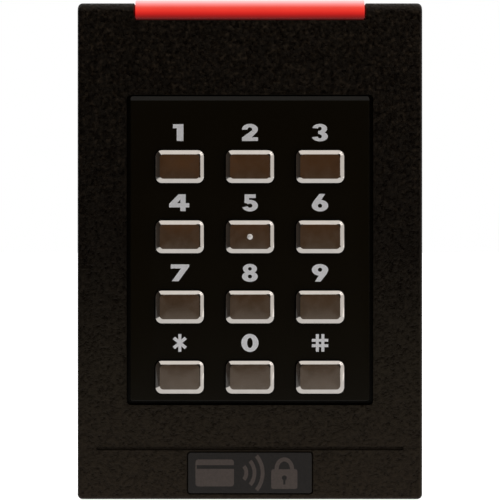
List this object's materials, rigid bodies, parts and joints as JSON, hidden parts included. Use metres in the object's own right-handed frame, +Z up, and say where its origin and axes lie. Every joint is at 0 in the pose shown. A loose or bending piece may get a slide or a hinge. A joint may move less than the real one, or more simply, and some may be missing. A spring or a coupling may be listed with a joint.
{
  "type": "keypad access reader",
  "caption": "Upright rectangular wall reader with a raised panel of bevelled metal keys, a red light bar over its top edge, and a mounting plate behind.",
  "frame": {"origin": "centre of the mounting plate's back face, on the wall", "axes": "+Z up the wall, +X to the right seen from the front, +Y into the wall; the keys face -Y"},
  "size_m": [0.0848, 0.0279, 0.1223],
  "materials": {
    "textured_black": "fine-grained moulded polycarbonate",
    "smooth_black": "smooth satin moulding with light printed legends",
    "key_metal": "plated zinc caps with a polished bevel",
    "red_light_pipe": "clear-tinted light pipe, lit red",
    "badge_dark": "blank dark label in a recess",
    "silicone_grey": "moulded silicone",
    "board_green": "fibreglass board under solder mask",
    "copper_wire": "enamelled copper winding",
    "chip_black": "moulded epoxy package",
    "bright_can": "drawn metal can",
    "led_white": "light-emitting diode package",
    "cover_black": "plain moulded plastic",
    "terminal_green": "moulded polyamide",
    "zinc_steel": "zinc-plated steel",
    "nickel_steel": "nickel-plated steel"
  },
  "bodies": {
    "reader": {"front_housing": "textured_black", "keypad_bezel": "smooth_black", "light_bar": "red_light_pipe", "badge_plate": "badge_dark", "keypad_mat": "silicone_grey", "keypad_board": "board_green", "main_board": "board_green", "antenna_coil": "copper_wire", "controller_chip": "chip_black", "radio_chip": "chip_black", "voltage_regulator": "chip_black", "board_connector": "chip_black", "power_inductor": "chip_black", "buzzer": "chip_black", "tamper_sensor": "chip_black", "crystal": "bright_can", "filter_capacitor": "bright_can", "status_led_1": "led_white", "status_led_2": "led_white", "status_led_3": "led_white", "status_led_4": "led_white", "rear_cover": "cover_black", "mounting_plate": "cover_black", "terminal_block": "terminal_green", "cover_screw_1": "zinc_steel", "cover_screw_2": "zinc_steel", "cover_screw_3": "zinc_steel", "cover_screw_4": "zinc_steel", "terminal_screw_1": "zinc_steel", "terminal_screw_2": "zinc_steel", "terminal_screw_3": "zinc_steel", "terminal_screw_4": "zinc_steel", "terminal_screw_5": "zinc_steel", "terminal_screw_6": "zinc_steel", "terminal_screw_7": "zinc_steel", "terminal_screw_8": "zinc_steel", "captive_nut": "nickel_steel", "security_screw": "nickel_steel"},
    "key_1": {"key_1": "key_metal"},
    "key_2": {"key_2": "key_metal"},
    "key_3": {"key_3": "key_metal"},
    "key_4": {"key_4": "key_metal"},
    "key_5": {"key_5": "key_metal"},
    "key_6": {"key_6": "key_metal"},
    "key_7": {"key_7": "key_metal"},
    "key_8": {"key_8": "key_metal"},
    "key_9": {"key_9": "key_metal"},
    "key_star": {"key_star": "key_metal"},
    "key_0": {"key_0": "key_metal"},
    "key_hash": {"key_hash": "key_metal"}
  },
  "joints": [
    {"name": "key_1_press", "type": "slide", "parent": "reader", "child": "key_1", "axis": [0, 1, 0], "range_m": [0, 0.001], "stiffness_N_per_m": 1200, "springref_m": -0.0005, "deforming": ["keypad_mat"]},
    {"name": "key_2_press", "type": "slide", "parent": "reader", "child": "key_2", "axis": [0, 1, 0], "range_m": [0, 0.001], "stiffness_N_per_m": 1200, "springref_m": -0.0005, "deforming": ["keypad_mat"]},
    {"name": "key_3_press", "type": "slide", "parent": "reader", "child": "key_3", "axis": [0, 1, 0], "range_m": [0, 0.001], "stiffness_N_per_m": 1200, "springref_m": -0.0005, "deforming": ["keypad_mat"]},
    {"name": "key_4_press", "type": "slide", "parent": "reader", "child": "key_4", "axis": [0, 1, 0], "range_m": [0, 0.001], "stiffness_N_per_m": 1200, "springref_m": -0.0005, "deforming": ["keypad_mat"]},
    {"name": "key_5_press", "type": "slide", "parent": "reader", "child": "key_5", "axis": [0, 1, 0], "range_m": [0, 0.001], "stiffness_N_per_m": 1200, "springref_m": -0.0005, "deforming": ["keypad_mat"]},
    {"name": "key_6_press", "type": "slide", "parent": "reader", "child": "key_6", "axis": [0, 1, 0], "range_m": [0, 0.001], "stiffness_N_per_m": 1200, "springref_m": -0.0005, "deforming": ["keypad_mat"]},
    {"name": "key_7_press", "type": "slide", "parent": "reader", "child": "key_7", "axis": [0, 1, 0], "range_m": [0, 0.001], "stiffness_N_per_m": 1200, "springref_m": -0.0005, "deforming": ["keypad_mat"]},
    {"name": "key_8_press", "type": "slide", "parent": "reader", "child": "key_8", "axis": [0, 1, 0], "range_m": [0, 0.001], "stiffness_N_per_m": 1200, "springref_m": -0.0005, "deforming": ["keypad_mat"]},
    {"name": "key_9_press", "type": "slide", "parent": "reader", "child": "key_9", "axis": [0, 1, 0], "range_m": [0, 0.001], "stiffness_N_per_m": 1200, "springref_m": -0.0005, "deforming": ["keypad_mat"]},
    {"name": "key_star_press", "type": "slide", "parent": "reader", "child": "key_star", "axis": [0, 1, 0], "range_m": [0, 0.001], "stiffness_N_per_m": 1200, "springref_m": -0.0005, "deforming": ["keypad_mat"]},
    {"name": "key_0_press", "type": "slide", "parent": "reader", "child": "key_0", "axis": [0, 1, 0], "range_m": [0, 0.001], "stiffness_N_per_m": 1200, "springref_m": -0.0005, "deforming": ["keypad_mat"]},
    {"name": "key_hash_press", "type": "slide", "parent": "reader", "child": "key_hash", "axis": [0, 1, 0], "range_m": [0, 0.001], "stiffness_N_per_m": 1200, "springref_m": -0.0005, "deforming": ["keypad_mat"]}
  ]
}
